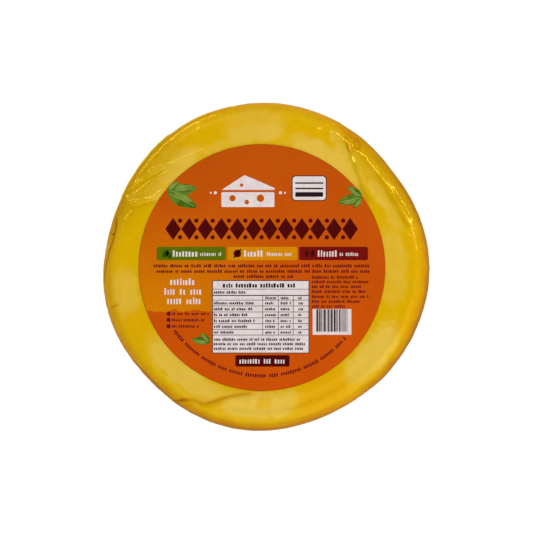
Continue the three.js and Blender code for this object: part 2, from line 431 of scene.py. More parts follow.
def corner_folds():
    """The pleats of the film's four gathered corners, which close up towards the foot."""
    folds = []
    foot = MEAN_RADIUS + FOOT_DOWN - GIRTH_DOWN
    for corner in CORNERS:
        for i in range(-PLEATS, PLEATS + 1):
            form = "ridge" if (i + PLEATS) % 2 else "valley"
            height = PLEAT_HEIGHT[form] * (1 - 0.5 * abs(i) / PLEATS)
            top = MEAN_RADIUS + PLEAT_START + PLEAT_STEP * abs(i)
            points = [(corner + i * PLEAT_SPREAD, top),
                      (corner + i * mix(PLEAT_SPREAD, PLEAT_MEET, 0.4), mix(top, foot, 0.5)),
                      (corner + i * PLEAT_MEET, foot)]
            folds.append(Fold(form, height, PLEAT_WIDTH, points))
    return folds


def on_film(angle, down):
    """A place on the film for each direction and depth, in millimetres, that runs on without a seam."""
    return np.column_stack([*polar(UNROLL_RADIUS, angle), down])


def crinkle(place, pitch, seed):
    """A crumpled pattern from about -1 to 1: sharp waves of about that pitch, in random directions."""
    rng = np.random.default_rng(seed)
    total = np.zeros(len(place))
    for i in range(7):
        run = rng.normal(size=3)
        run /= np.hypot(run[0], np.hypot(run[1], run[2])) * pitch * rng.uniform(0.7, 1.5)
        total += 1.0 - 2.0 * np.abs(np.sin(place @ run * 2 * math.pi + rng.uniform(0, 6.3)))
    return total / 4.0


def zone(angle, down, middle, half_turn, reach, half_reach):
    """1 in the middle of a patch of the film, falling softly to 0 at its edges."""
    across = np.abs(turn_between(middle, angle)) / half_turn
    along = np.abs(down - down_at(reach)) / half_reach
    return 1 - smoothstep(0.45, 1.15, (across**3 + along**3) ** (1 / 3))


def bubble_reach(angle, down):
    """How far out of the oval bubble's middle a point lies, where its rim is at 1."""
    direction, reach, half_width, half_length, tilt = BUBBLE
    u = unroll(direction, angle)
    v = down - down_at(reach)
    a = math.radians(tilt)
    across = (u * math.cos(a) + v * math.sin(a)) / half_width
    along = (v * math.cos(a) - u * math.sin(a)) / half_length
    return np.hypot(across, along)


def film_relief(angle, down):
    """How far the film stands off the plain wheel in millimetres, and how deep its tint is: how wet it lies
    on the cheese, and painted shade along its folds.
    """
    place = on_film(angle, down)
    on_wall = smoothstep(GIRTH_DOWN, GIRTH_DOWN + 4.0, down)
    stand = RIPPLE_HEIGHT * crinkle(place, RIPPLE_PITCH, 3) * smoothstep(2.0, 8.0, down)
    stand += WALL_RIPPLE_HEIGHT * crinkle(place, WALL_RIPPLE_PITCH, 4) * on_wall
    # The deeper tint of film that lies wet, also painted shade along the folds and in crinkle dips
    wet = streaked(WET_SHADE_STREAKS, angle, down)
    for *where, strength in WET_SHADE_ZONES:
        wet = np.maximum(wet, strength * zone(angle, down, *where))
    for fold in TOP_FOLDS + corner_folds():
        near, lift = fold_relief(fold, angle, down)
        stand[near] += lift
    for direction, reach, half, height in BLISTERS:
        stand += height * np.exp(-(unroll(direction, angle) ** 2 + (down - down_at(reach)) ** 2) / half**2)
    stand += BUBBLE_HEIGHT * bell(bubble_reach(angle, down) - 1.0, BUBBLE_RIM)
    for seed, (*where, height) in enumerate(CRINKLES, 5):
        patch = zone(angle, down, *where)
        crumple = crinkle(place, CRINKLE_PITCH, seed)
        stand += height * patch * crumple
        wet = np.maximum(wet, 0.8 * patch * smoothstep(0.0, 0.5, -crumple) * (height > WET_SHADE_CRINKLE))
    return stand * (1 - smoothstep(FOOT_DOWN - 3, FOOT_DOWN - 0.5, down)), wet


def streaked(streaks, angle, down):
    """How strong a colour is along its streaks, from 0 to 1."""
    strongest = np.zeros_like(down)
    for strength, half_width, points in streaks:
        near, signed, to_end = from_line(points, angle, down, NEAR_FOLD)
        streak = strength * bell(signed, half_width) * smoothstep(0.0, STREAK_TAPER, to_end)
        strongest[near] = np.maximum(strongest[near], streak)
    return strongest


def under_relief(x, y):
    """Under the wheel: how far the film's folds stand out of its hollow, and how much film lies over film.
    The heat-sealed fin lies flat across the middle, and the four corners are folded in over it."""
    fin = smoothstep(FIN_HALF_WIDTH, FIN_HALF_WIDTH - 0.4, np.abs(y - FIN_Y))
    fin *= smoothstep(FIN_HALF_LENGTH, FIN_HALF_LENGTH - 2.0, np.abs(x))
    crimp = 0.5 + 0.5 * np.cos(2 * math.pi * y / CRIMP_PITCH)
    stand = FIN_HEIGHT * fin + CRIMP_HEIGHT * fin * crimp
    layers_and_shade = 0.5 * fin
    for corner in CORNERS:
        a = math.radians(corner)
        out = x * math.cos(a) + y * math.sin(a)
        across = np.abs(y * math.cos(a) - x * math.sin(a))
        half_width = np.maximum((out - EAR_TIP) * EAR_WIDENS, 0.01)
        ear = smoothstep(1.04, 0.96, across / half_width) * smoothstep(EAR_TIP, EAR_TIP + 1.0, out)
        pleat = 0.5 + 0.5 * np.cos(across / half_width * 3 * math.pi)
        stand += ear * (EAR_HEIGHT + EAR_PLEAT * pleat)
        layers_and_shade += ear * (0.3 + 0.3 * pleat)
    slack = 0.03 * crinkle(np.column_stack([x, y, np.zeros(len(x))]), 12.0, 8)
    return stand + slack, np.clip(layers_and_shade, 0.0, 1.0)


# Modelling helpers


def start_clean():
    """Back in object mode with nothing selected."""
    if bpy.context.mode != "OBJECT":
        bpy.ops.object.mode_set(mode="OBJECT")
    bpy.ops.object.select_all(action="DESELECT")


def pick(piece):
    start_clean()
    piece.select_set(True)
    bpy.context.view_layer.objects.active = piece


def settle(piece, name):
    """Names a piece and leaves its place in its mesh, with its object at the origin."""
    pick(piece)
    bpy.ops.object.transform_apply(location=True, rotation=True, scale=True)
    piece.name = name
    piece.data.name = name
    return piece


def join(pieces, name):
    start_clean()
    for piece in pieces:
        piece.select_set(True)
    bpy.context.view_layer.objects.active = pieces[0]
    if len(pieces) > 1:
        bpy.ops.object.join()
    return settle(bpy.context.view_layer.objects.active, name)


def twin(piece, matrix):
    """A copy of a modelled shape with its own mesh, moved to its place."""
    copy = piece.copy()
    copy.data = piece.data.copy()
    copy.data.transform(matrix)
    bpy.context.scene.collection.objects.link(copy)
    return copy


def remove(piece):
    bpy.data.objects.remove(piece, do_unlink=True)


def vertices_of(mesh):
    places = np.empty(len(mesh.vertices) * 3)
    mesh.vertices.foreach_get("co", places)
    return places.reshape(-1, 3)


def set_vertices(mesh, places):
    mesh.vertices.foreach_set("co", places.ravel())
    mesh.update()


def paint(mesh, name, values):
    """Keeps a number for each vertex, for a material to read."""
    numbers = mesh.attributes.new(name, "FLOAT", "POINT").data
    numbers.foreach_set("value", np.asarray(values, dtype=np.float32))


# Materials


CHEESE_YELLOW = "#E2B402"
CHEESE_PALE = "#E9C348"
CHEESE_DEEP = "#E8AA00"
# Amber is partly the rind's own tone and partly painted shade at the rim and in the creases; brown is
# painted shade at the girth
CHEESE_AMBER = "#CF8700"
CHEESE_BROWN_SHADE = "#8E5000"
# The tint of wet film, which also paints the shade along the folds
FILM_WET_SHADE = "#F0ED9A"
FILM_GLOSS = 0.045
FILM_SHEEN = "#FFDC58"
# The label's orange at its top is darker than at its foot: painted shade
LABEL_TOP_SHADED = "#C05207"
LABEL_LOWER = "#CC5104"
LABEL_AMBER = "#D47E00"
# How large the blotches of each pattern are, in millimetres: clouds and curds in the cheese, ripples of the
# film, hills on the label, mottle and clouds in its ink, and drifts and specks in the inks over it
CLOUD_SIZE = 11.1
CURD_SIZE = 2.38
RIPPLE_SIZE = 3.125
HILL_SIZE = 13.3
MOTTLE_SIZE = 1.43
INK_CLOUD_SIZE = 16.7
INK_DRIFT_SIZE = 3.85
INK_SPECK_SIZE = 1.11
# Where the label's colours change, in millimetres on the print: from the lower orange to the darker upper
# one, a painted shade; into the amber leftwards and downwards; and the lowest and the highest hilltop that
# ends it
UPPER_LOWER = (-43, 43)
AMBER_LEFT = (16, -34)
AMBER_DOWN = (24, -14)
HILLTOPS = (-17.2, -13.2)
HILL_EDGE = 0.12


def linear(hex_colour):
    """An sRGB hex colour as linear red, green, blue and alpha 1."""
    parts = [int(hex_colour[i:i + 2], 16) / 255 for i in (1, 3, 5)]
    return tuple(c / 12.92 if c <= 0.04045 else ((c + 0.055) / 1.055) ** 2.4 for c in parts) + (1.0,)


def scale_for(size):
    """The scale of a noise whose blotches are of a size in millimetres."""
    return 1 / (size * MM)


def add(tree, kind, inputs=None, **settings):
    """Adds a node with its settings, and its inputs from values or from other nodes' outputs."""
    new = tree.nodes.new(kind)
    for name, value in settings.items():
        setattr(new, name, value)
    for key, value in (inputs or {}).items():
        if isinstance(value, bpy.types.NodeSocket):
            tree.links.new(value, new.inputs[key])
        else:
            new.inputs[key].default_value = value
    return new


def new_material(name):
    material = bpy.data.materials.new(name)
    material.use_nodes = True
    material.node_tree.nodes.clear()
    return material, material.node_tree


def provolone():
    """Pressed provolone, smooth and a little moist: deep yellow where the film clings to it, paler where it
    has dried under slack film, and orange at the rim, partly where the rind is thickest and partly painted
    shade; brown painted shade at the girth and amber painted shade in the creases. Light sinks in."""
    material, tree = new_material("pressed_provolone")
    place = add(tree, "ShaderNodeTexCoord").outputs["Object"]
    pale, deep, rim = (add(tree, "ShaderNodeAttribute", attribute_name=name).outputs["Fac"]
                       for name in ("pale", "deep", "rim"))
    cloud = add(tree, "ShaderNodeTexNoise", {
        "Vector": place, "Scale": scale_for(CLOUD_SIZE), "Detail": 3.0, "Roughness": 0.55}).outputs["Fac"]
    curd = add(tree, "ShaderNodeTexNoise", {
        "Vector": place, "Scale": scale_for(CURD_SIZE), "Detail": 2.0, "Roughness": 0.6}).outputs["Fac"]
    mottle = add(tree, "ShaderNodeMapRange", {
        "Value": cloud, "From Min": 0.3, "From Max": 0.7, "To Min": 0.8, "To Max": 1.2}).outputs["Result"]
    paleness = add(tree, "ShaderNodeMath", {0: pale, 1: mottle}, operation="MULTIPLY",
                   use_clamp=True).outputs[0]
    # The rim number carries the rind's amber and painted shade; from 0.5 up it turns to brown painted shade
    amber = add(tree, "ShaderNodeMapRange", {"Value": rim, "From Max": 0.6}).outputs["Result"]
    brown_shade = add(tree, "ShaderNodeMapRange", {"Value": rim, "From Min": 0.5}).outputs["Result"]
    colour = linear(CHEESE_YELLOW)
    for share, tone in ((paleness, CHEESE_PALE), (deep, CHEESE_DEEP), (amber, CHEESE_AMBER),
                        (brown_shade, CHEESE_BROWN_SHADE)):
        colour = add(tree, "ShaderNodeMix", {0: share, 6: colour, 7: linear(tone)},
                     data_type="RGBA").outputs[2]
    grain = add(tree, "ShaderNodeMapRange", {"Value": curd, "To Min": 0.94, "To Max": 1.06})
    colour = add(tree, "ShaderNodeMix", {0: 1.0, 6: colour, 7: grain.outputs["Result"]},
                 data_type="RGBA", blend_type="MULTIPLY").outputs[2]
    bump = add(tree, "ShaderNodeBump", {"Height": curd, "Strength": 0.25, "Distance": 0.2 * MM})
    surface = add(tree, "ShaderNodeBsdfPrincipled", {
        "Base Color": colour, "Roughness": 0.5, "IOR": 1.4, "Specular IOR Level": 0.03,
        "Normal": bump.outputs["Normal"], "Subsurface Weight": 0.15,
        "Subsurface Radius": (1.0, 0.55, 0.12), "Subsurface Scale": 3 * MM})
    add(tree, "ShaderNodeOutputMaterial", {"Surface": surface.outputs[0]})
    return material


def shrink_film():
    """Clear polyolefin shrink film, pulled tight with heat. It shows as sharp glints along its creases, and
    as a deeper yellow where it is wet, a tint that is also painted shade along its folds."""
    material, tree = new_material("clear_shrink_film")
    place = add(tree, "ShaderNodeTexCoord").outputs["Object"]
    layers_and_shade = add(tree, "ShaderNodeAttribute", attribute_name="layers_and_shade").outputs["Fac"]
    tint = add(tree, "ShaderNodeMix", {0: layers_and_shade, 6: (1, 1, 1, 1), 7: linear(FILM_WET_SHADE)}, data_type="RGBA")
    clear = add(tree, "ShaderNodeBsdfTransparent", {"Color": tint.outputs[2]})
    ripple = add(tree, "ShaderNodeTexNoise", {
        "Vector": place, "Scale": scale_for(RIPPLE_SIZE), "Detail": 2.0, "Roughness": 0.5}).outputs["Fac"]
    bump = add(tree, "ShaderNodeBump", {"Height": ripple, "Strength": 0.35, "Distance": 0.1 * MM})
    gloss = add(tree, "ShaderNodeBsdfGlossy", {
        "Color": linear(FILM_SHEEN), "Roughness": 0.155, "Normal": bump.outputs["Normal"]})
    facing = add(tree, "ShaderNodeLayerWeight").outputs["Facing"]
    grazing = add(tree, "ShaderNodeMath", {0: facing, 1: 6.0}, operation="POWER").outputs[0]
    share = add(tree, "ShaderNodeMapRange", {
        "Value": grazing, "To Min": FILM_GLOSS, "To Max": 0.2}).outputs["Result"]
    surface = add(tree, "ShaderNodeMixShader", {0: share, 1: clear.outputs[0], 2: gloss.outputs[0]})
    add(tree, "ShaderNodeOutputMaterial", {"Surface": surface.outputs[0]})
    return material


# The wheel


def spun_wheel():
    """The plain section, turned into a closed wheel."""
    mesh = bpy.data.meshes.new("section")
    points = [(r * MM, 0.0, h * MM) for r, h in SECTION[:, :2]]
    mesh.from_pydata(points, [(i, i + 1) for i in range(len(points) - 1)], [])
    wheel = bpy.data.objects.new("wheel", mesh)
    bpy.context.scene.collection.objects.link(wheel)
    pick(wheel)
    turn = wheel.modifiers.new("turn", "SCREW")
    turn.axis = "Z"
    turn.angle = 2 * math.pi
    turn.screw_offset = 0.0
    turn.steps = TURNS
    turn.use_merge_vertices = True
    turn.merge_threshold = 1e-7
    bpy.ops.object.modifier_apply(modifier=turn.name)
    bpy.ops.object.mode_set(mode="EDIT")
    bpy.ops.mesh.select_all(action="SELECT")
    bpy.ops.mesh.remove_doubles(threshold=1e-7)
    bpy.ops.mesh.normals_make_consistent(inside=False)
    bpy.ops.object.mode_set(mode="OBJECT")
    bpy.ops.object.shade_smooth()
    return wheel


def grid_places(mesh):
    """For each vertex of a turned wheel: its step round the film's turns, and its point of the section."""
    places = vertices_of(mesh) / MM
    angle = np.degrees(np.arctan2(places[:, 1], places[:, 0]))
    radius = np.hypot(places[:, 0], places[:, 1])
    turn = np.rint(angle * TURNS / 360).astype(int) % TURNS
    apart = (radius[:, None] - SECTION[:, 0]) ** 2 + (places[:, 2][:, None] - SECTION[:, 1]) ** 2
    return turn, np.argmin(apart, axis=1)


def shaped(angle, point, stand, rise):
    """The place of each vertex, moved out with the uneven outline and off the surface by its stand."""
    radius, height, outward, up, down = SECTION[point].T
    outline = changed(MEAN_RADIUS + waves(OUTLINE_WAVES, angle), OUTLINE_SWELLS, angle)
    crown = waves(CROWN_WAVES, angle) * smoothstep(0.0, 6.0, down) * np.maximum(up, 0.0)
    out = radius * outline / MEAN_RADIUS + stand * outward
    return np.column_stack([*polar(out, angle), height + stand * np.maximum(up, 0.0) + crown + rise])


def foot_hollow(radius, up):
    """How far the flat foot rises inside the ring that the wheel stands on."""
    return FOOT_HOLLOW * (1 - smoothstep(FOOT_RING, FOOT_RING + 4, radius)) * (up < -0.99)


def make_wheel():
    """The film and the cheese inside it, from one turned section and one relief."""
    film = spun_wheel()
    cheese = twin(film, Matrix.Identity(4))
    turn, point = grid_places(film.data)
    turns = np.arange(TURNS) * 360.0 / TURNS
    relief, wetness_and_shade = film_relief(np.repeat(turns, len(SECTION)), np.tile(SECTION[:, 4], TURNS))
    relief = relief.reshape(TURNS, -1)[turn, point]
    wetness_and_shade = wetness_and_shade.reshape(TURNS, -1)[turn, point]
    angle = turns[turn]
    radius, _, _, up, down = SECTION[point].T
    x, y = polar(radius, angle)

    off_label = np.hypot(x - LABEL_X, y - LABEL_Y) - LABEL_RADIUS
    loose = np.where(up < -0.5, 1.0, smoothstep(0.1, 1.4, off_label))
    hollow = foot_hollow(radius, up)
    folded, doubled = under_relief(x, y)
    places = shaped(angle, point, relief * loose, np.maximum(hollow * LEAST_HOLLOW, hollow - folded))
    middle = (places.max(axis=0) + places.min(axis=0)) / 2 * np.array([1, 1, 0])
    set_vertices(film.data, (places - middle) * MM)
    # The film's tint: film over film under the wheel; on top, wet film and painted shade beside its folds
    paint(film.data, "layers_and_shade", np.where(hollow > 0, doubled, wetness_and_shade * loose))

    sunk = np.where(relief > 0, CHEESE_FOLLOWS * relief, relief) - FILM_GAP
    places = shaped(angle, point, sunk, hollow + np.maximum(-up, 0.0) * FILM_GAP)
    set_vertices(cheese.data, (places - middle) * MM)
    paint_cheese(cheese.data, angle, radius, up, down)
    return settle(film, "shrink_film"), settle(cheese, "provolone_wheel")


def patched(plain, patches, angle, down, fray):
    """How strong a colour is with its patches, which have frayed edges, added to its plain strength."""
    for middle, half_turn, reach, half_reach, strength in patches:
        inside = zone(angle, down, middle, half_turn * 1.15, reach, half_reach * 1.15)
        patch = strength * smoothstep(0.0, 1.0, inside + fray * inside * (1.0 - inside) * 4.0)
        plain = np.maximum(plain, patch)
    return plain


def paint_cheese(mesh, angle, radius, up, down):
    """How pale and how deep each point of the cheese is, and its amber: the rind's tone near the rim, and
    painted shade at the rim, at the girth and along the creases and pleats.
    """
    under = up < -0.99
    place = on_film(angle, down)
    place[under] = np.column_stack([*polar(radius, angle), np.zeros_like(angle)])[under]
    wander = angle + 1.6 * crinkle(place, 26.0, 61)
    drift = down + 0.9 * crinkle(place, 11.0, 62)
    fray = 0.2 * crinkle(place, 5.0, 63)
    off_top = smoothstep(GIRTH_DOWN + 1.0, GIRTH_DOWN + 6.0, down)
    least = np.where(under, -0.35, -0.05)
    pale = 0.75 * smoothstep(least, 0.4 + least, crinkle(place, 46.0, 77) + 0.6 * fray) * off_top
    pale = patched(pale, PALE_PATCHES, wander, drift, fray)
    deep = 0.5 * smoothstep(0.1, 0.6, crinkle(place, 38.0, 78) + 0.6 * fray) * off_top
    deep = patched(deep, DEEP_PATCHES, wander, drift, fray)
    paint(mesh, "pale", pale * (1 - 0.8 * deep))
    paint(mesh, "deep", deep)

    # Amber, partly the rind's tone and partly painted shade, comes up to the girth and fades below it, and a
    # brown painted shade keeps close to the girth
    low, high = (down_at(reach) for reach in RIM_DEEPENS)
    uneven = down + 0.8 * crinkle(place, 17.0, 41)
    # A painted shade: more amber on the side turned from the light
    shade_lean = RIM_SHADE_LEAN * np.cos(np.radians(angle - RIM_SHADED_SIDE))
    amber = changed(RIM_STRENGTH + shade_lean, RIM_CHANGES, angle)
    fading = 1 - 0.7 * smoothstep(high + 1.0, high + 11.0, uneven)
    amber_tone_and_shade = amber * smoothstep(low, high, uneven) * fading
    low, high = (down_at(reach) for reach in GIRTH_SHADE)
    amber_tone_and_shade += 0.2 * smoothstep(low, high, down) * (1 - smoothstep(high + 0.6, high + 5.0, down))
    # Painted shade in the valleys of the pleats and along the creases
    pleats = [(*PLEAT_SHADE, fold.points) for fold in corner_folds() if fold.form == "valley"]
    amber_tone_and_shade += streaked(pleats, angle, down)
    streaks = streaked(CREASE_SHADE_STREAKS, angle, down)
    bubble = 0.5 * bell(bubble_reach(angle, down) - 0.65, 0.25)
    paint(mesh, "rim", np.maximum(amber_tone_and_shade, np.maximum(streaks, bubble) * (1 - under)))


# The label


def label_material():
    """Coated label paper, offset printed: a matt orange with a painted shade that darkens it towards its
    top, warming to amber over low hills on its left, with the faint mottle of full ink coverage."""
    material, tree = new_material("printed_label_paper")
    place = add(tree, "ShaderNodeTexCoord").outputs["Object"]
    centred = add(tree, "ShaderNodeMapping", {
        "Vector": place, "Location": (-PRINT_X * MM, -PRINT_Y * MM, 0)})
    x, y = add(tree, "ShaderNodeSeparateXYZ", {0: centred.outputs[0]}).outputs[:2]
    # The upper orange is darker than the lower: painted shade towards the top of the label
    height = add(tree, "ShaderNodeMapRange", {
        "Value": y, "From Min": UPPER_LOWER[0] * MM, "From Max": UPPER_LOWER[1] * MM}).outputs["Result"]
    plain = add(tree, "ShaderNodeMix", {0: height, 6: linear(LABEL_LOWER), 7: linear(LABEL_TOP_SHADED)},
                data_type="RGBA").outputs[2]
    leftward = add(tree, "ShaderNodeMapRange", {
        "Value": x, "From Min": AMBER_LEFT[0] * MM, "From Max": AMBER_LEFT[1] * MM},
        interpolation_type="SMOOTHSTEP").outputs["Result"]
    downward = add(tree, "ShaderNodeMapRange", {
        "Value": y, "From Min": AMBER_DOWN[0] * MM, "From Max": AMBER_DOWN[1] * MM}).outputs["Result"]
    hills = add(tree, "ShaderNodeTexNoise", {
        "W": x, "Scale": scale_for(HILL_SIZE), "Detail": 3.0, "Roughness": 0.6},
        noise_dimensions="1D").outputs["Fac"]
    skyline = add(tree, "ShaderNodeMapRange", {
        "Value": hills, "From Min": 0.25, "From Max": 0.75, "To Min": HILLTOPS[0] * MM,
        "To Max": HILLTOPS[1] * MM}).outputs["Result"]
    above = add(tree, "ShaderNodeMath", {0: y, 1: skyline}, operation="SUBTRACT").outputs[0]
    sky = add(tree, "ShaderNodeMapRange", {
        "Value": above, "From Min": -HILL_EDGE * MM, "From Max": HILL_EDGE * MM}).outputs["Result"]
    glow = leftward
    for part in (downward, sky):
        glow = add(tree, "ShaderNodeMath", {0: glow, 1: part}, operation="MULTIPLY").outputs[0]
    orange = add(tree, "ShaderNodeMix", {0: glow, 6: plain, 7: linear(LABEL_AMBER)},
                 data_type="RGBA").outputs[2]
    mottle = add(tree, "ShaderNodeTexNoise", {
        "Vector": place, "Scale": scale_for(MOTTLE_SIZE), "Detail": 3.0, "Roughness": 0.6}).outputs["Fac"]
    cloudy = add(tree, "ShaderNodeTexNoise", {
        "Vector": place, "Scale": scale_for(INK_CLOUD_SIZE), "Detail": 2.0, "Roughness": 0.5}).outputs["Fac"]
    both = add(tree, "ShaderNodeMath", {0: mottle, 1: cloudy}, operation="ADD").outputs[0]
    shade = add(tree, "ShaderNodeMapRange", {
        "Value": both, "From Min": 0.6, "From Max": 1.4, "To Min": 0.93, "To Max": 1.07}).outputs["Result"]
    colour = add(tree, "ShaderNodeMix", {0: 1.0, 6: orange, 7: shade}, data_type="RGBA",
                 blend_type="MULTIPLY").outputs[2]
    fibre = add(tree, "ShaderNodeBump", {"Height": mottle, "Strength": 0.2, "Distance": 0.05 * MM})
    surface = add(tree, "ShaderNodeBsdfPrincipled", {
        "Base Color": colour, "Roughness": 0.55, "Specular IOR Level": 0.02,
        "Normal": fibre.outputs["Normal"]})
    add(tree, "ShaderNodeOutputMaterial", {"Surface": surface.outputs[0]})
    return material


def ink_material(name, colour, other=None):
    """Offset ink on coated paper: matt, with the slight unevenness of a printed solid. Where a second colour
    is given, the ink drifts between the two over a few millimetres."""
    material, tree = new_material(name)
    place = add(tree, "ShaderNodeTexCoord").outputs["Object"]
    drift = add(tree, "ShaderNodeTexNoise", {
        "Vector": place, "Scale": scale_for(INK_DRIFT_SIZE), "Detail": 2.0, "Roughness": 0.5}).outputs["Fac"]
    share = add(tree, "ShaderNodeMapRange", {
        "Value": drift, "From Min": 0.38, "From Max": 0.62}).outputs["Result"]
    base = add(tree, "ShaderNodeMix", {0: share, 6: linear(colour), 7: linear(other or colour)},
               data_type="RGBA").outputs[2]
    speck = add(tree, "ShaderNodeTexNoise", {
        "Vector": place, "Scale": scale_for(INK_SPECK_SIZE), "Detail": 2.0, "Roughness": 0.6}).outputs["Fac"]
    shade = add(tree, "ShaderNodeMapRange", {
        "Value": speck, "To Min": 0.88, "To Max": 1.12}).outputs["Result"]
    mixed = add(tree, "ShaderNodeMix", {0: 1.0, 6: base, 7: shade}, data_type="RGBA",
                blend_type="MULTIPLY").outputs[2]
    surface = add(tree, "ShaderNodeBsdfPrincipled", {
        "Base Color": mixed, "Roughness": 0.6, "Specular IOR Level": 0.02})
    add(tree, "ShaderNodeOutputMaterial", {"Surface": surface.outputs[0]})
    return material


def make_paper():
    """The round label: a disc with an eased cut edge, and rings inset in its face so that it shades flat."""
    start_clean()
    depth = LABEL_HIGH[2] - LABEL_LOW[2]
    middle = (LABEL_HIGH[2] + LABEL_LOW[2]) / 2
    bpy.ops.mesh.primitive_cylinder_add(vertices=LABEL_SIDES, radius=LABEL_RADIUS * MM, depth=depth,
                                        location=(LABEL_X * MM, LABEL_Y * MM, middle))
    paper = settle(bpy.context.object, "paper_label")
    bpy.ops.object.mode_set(mode="EDIT")
    bpy.ops.mesh.select_all(action="DESELECT")
    bpy.ops.object.mode_set(mode="OBJECT")
    for face in paper.data.polygons:
        face.select = face.normal.z > 0.9
    bpy.ops.object.mode_set(mode="EDIT")
    bpy.ops.mesh.bevel(offset=0.13 * MM, segments=3, affect="EDGES")
    bpy.ops.mesh.inset(thickness=0.1 * MM)
    bpy.ops.mesh.inset(thickness=12 * MM)
    bpy.ops.object.mode_set(mode="OBJECT")
    bpy.ops.object.shade_smooth_by_angle(angle=math.radians(30))
    return paper


def print_move(x, y):
    """Moves a shape from the axis to a place on the print, in millimetres from its centre."""
    return Matrix.Translation(((PRINT_X + x) * MM, (PRINT_Y + y) * MM, 0))


def print_place(x, y, layer):
    """A place on the print. Its layer counts the inks that lie over each other there."""
    return ((PRINT_X + x) * MM, (PRINT_Y + y) * MM, (PAPER_TOP + INK_FILM * (layer - 1)) * MM)


def plate(width, height, x, y, corner=0.0, layer=1, turn=0.0):
    """A flat plate of print with rounded corners."""
    start_clean()
    bpy.ops.mesh.primitive_plane_add(size=1.0, location=print_place(x, y, layer),
                                     rotation=(0, 0, math.radians(turn)))
    piece = bpy.context.object
    piece.scale = (width * MM, height * MM, 1)
    bpy.ops.object.transform_apply(location=True, rotation=True, scale=True)
    if corner > 0:
        bpy.ops.object.mode_set(mode="EDIT")
        bpy.ops.mesh.select_all(action="SELECT")
        bpy.ops.mesh.bevel(offset=min(corner, 0.49 * min(width, height)) * MM, segments=5, affect="VERTICES")
        bpy.ops.object.mode_set(mode="OBJECT")
    return piece


def disc(radius, x, y, layer=1, sides=24):
    start_clean()
    bpy.ops.mesh.primitive_circle_add(vertices=sides, radius=radius * MM, fill_type="NGON",
                                      location=print_place(x, y, layer))
    piece = bpy.context.object
    bpy.ops.object.transform_apply(location=True, rotation=True, scale=True)
    return piece


def printed(name, pieces, material):
    """Joins plates of one ink, gives them the thickness of the ink, and its finish."""
    shapes = join(pieces, name)
    solid = shapes.modifiers.new("ink", "SOLIDIFY")
    solid.thickness = INK_FILM * MM
    solid.offset = 1.0
    bpy.ops.object.modifier_apply(modifier=solid.name)
    finish(shapes, material)


def finish(piece, material):
    piece.data.materials.clear()
    piece.data.materials.append(material)
    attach(piece, "root")


def text_bars(rows, layer=1, width=0.46, gap=0.2):
    """Rows of plain upright bars in groups: each row is its left end, its right end, its middle height and
    the height of its bars. The width of a bar and the gap are shares of that height."""
    bars = []
    for left, right, y, tall in rows:
        unit = plate(width * tall, tall, 0, 0, layer=layer)
        x = left
        word = random.randint(2, 9)
        while x < right:
            if word == 0:
                word = random.randint(2, 9)
                x += 0.6 * tall
                continue
            wide = random.choice((0.75, 0.9, 1.0, 1.0, 1.15))
            high = random.choice((0.72, 0.78, 0.78, 0.85, 1.0))
            place = ((PRINT_X + x) * MM, (PRINT_Y + y + (high - 1) * tall / 2) * MM, 0)
            size = Matrix.Diagonal((wide, high, 1, 1))
            bars.append(twin(unit, Matrix.Translation(place) @ size @ PRINT_TO_AXIS))
            x += (width * wide + gap) * tall
            word -= 1
        remove(unit)
    return bars


def curved_bars(radius, direction, end):
    """A row of bars along the label's lower edge, from one direction to another."""
    unit = plate(0.55, 1.3, 0, 0)
    bars = []
    word = 6
    while direction < end:
        if word == 0:
            word = random.randint(2, 9)
            direction += 1.3
            continue
        a = math.radians(direction)
        out = print_move(radius * math.cos(a), radius * math.sin(a))
        size = Matrix.Diagonal((1, random.choice((0.72, 0.8, 1.0)), 1, 1))
        bars.append(twin(unit, out @ Matrix.Rotation(a + math.pi / 2, 4, "Z") @ size @ PRINT_TO_AXIS))
        direction += 1.25
        word -= 1
    remove(unit)
    return bars


def lozenge_row(left, right, y, count, wide, high, layer=1):
    """A row of lozenges from its left end to its right end."""
    pieces = []
    size = Matrix.Diagonal((wide / math.sqrt(2), high / math.sqrt(2), 1, 1))
    for i in range(count):
        x = mix(left + wide / 2, right - wide / 2, i / (count - 1))
        piece = plate(1, 1, 0, 0, layer=layer, turn=45)
        piece.data.transform(print_move(x, y) @ size @ PRINT_TO_AXIS)
        pieces.append(piece)
    return pieces


def leaf(length, width, x, y, turn, layer=1):
    """A pointed leaf, from a disc whose ends are drawn out."""
    piece = disc(1.0, 0, 0, layer=layer, sides=28)
    places = vertices_of(piece.data) / MM
    u = places[:, 0] - PRINT_X
    v = places[:, 1] - PRINT_Y
    v = v * (1 - 0.45 * np.abs(u) ** 2) * (1 - 0.15 * u)
    a = math.radians(turn)
    px = u * length / 2 * math.cos(a) - v * width / 2 * math.sin(a)
    py = u * length / 2 * math.sin(a) + v * width / 2 * math.cos(a)
    places[:, 0] = PRINT_X + x + px
    places[:, 1] = PRINT_Y + y + py
    set_vertices(piece.data, places * MM)
    return piece


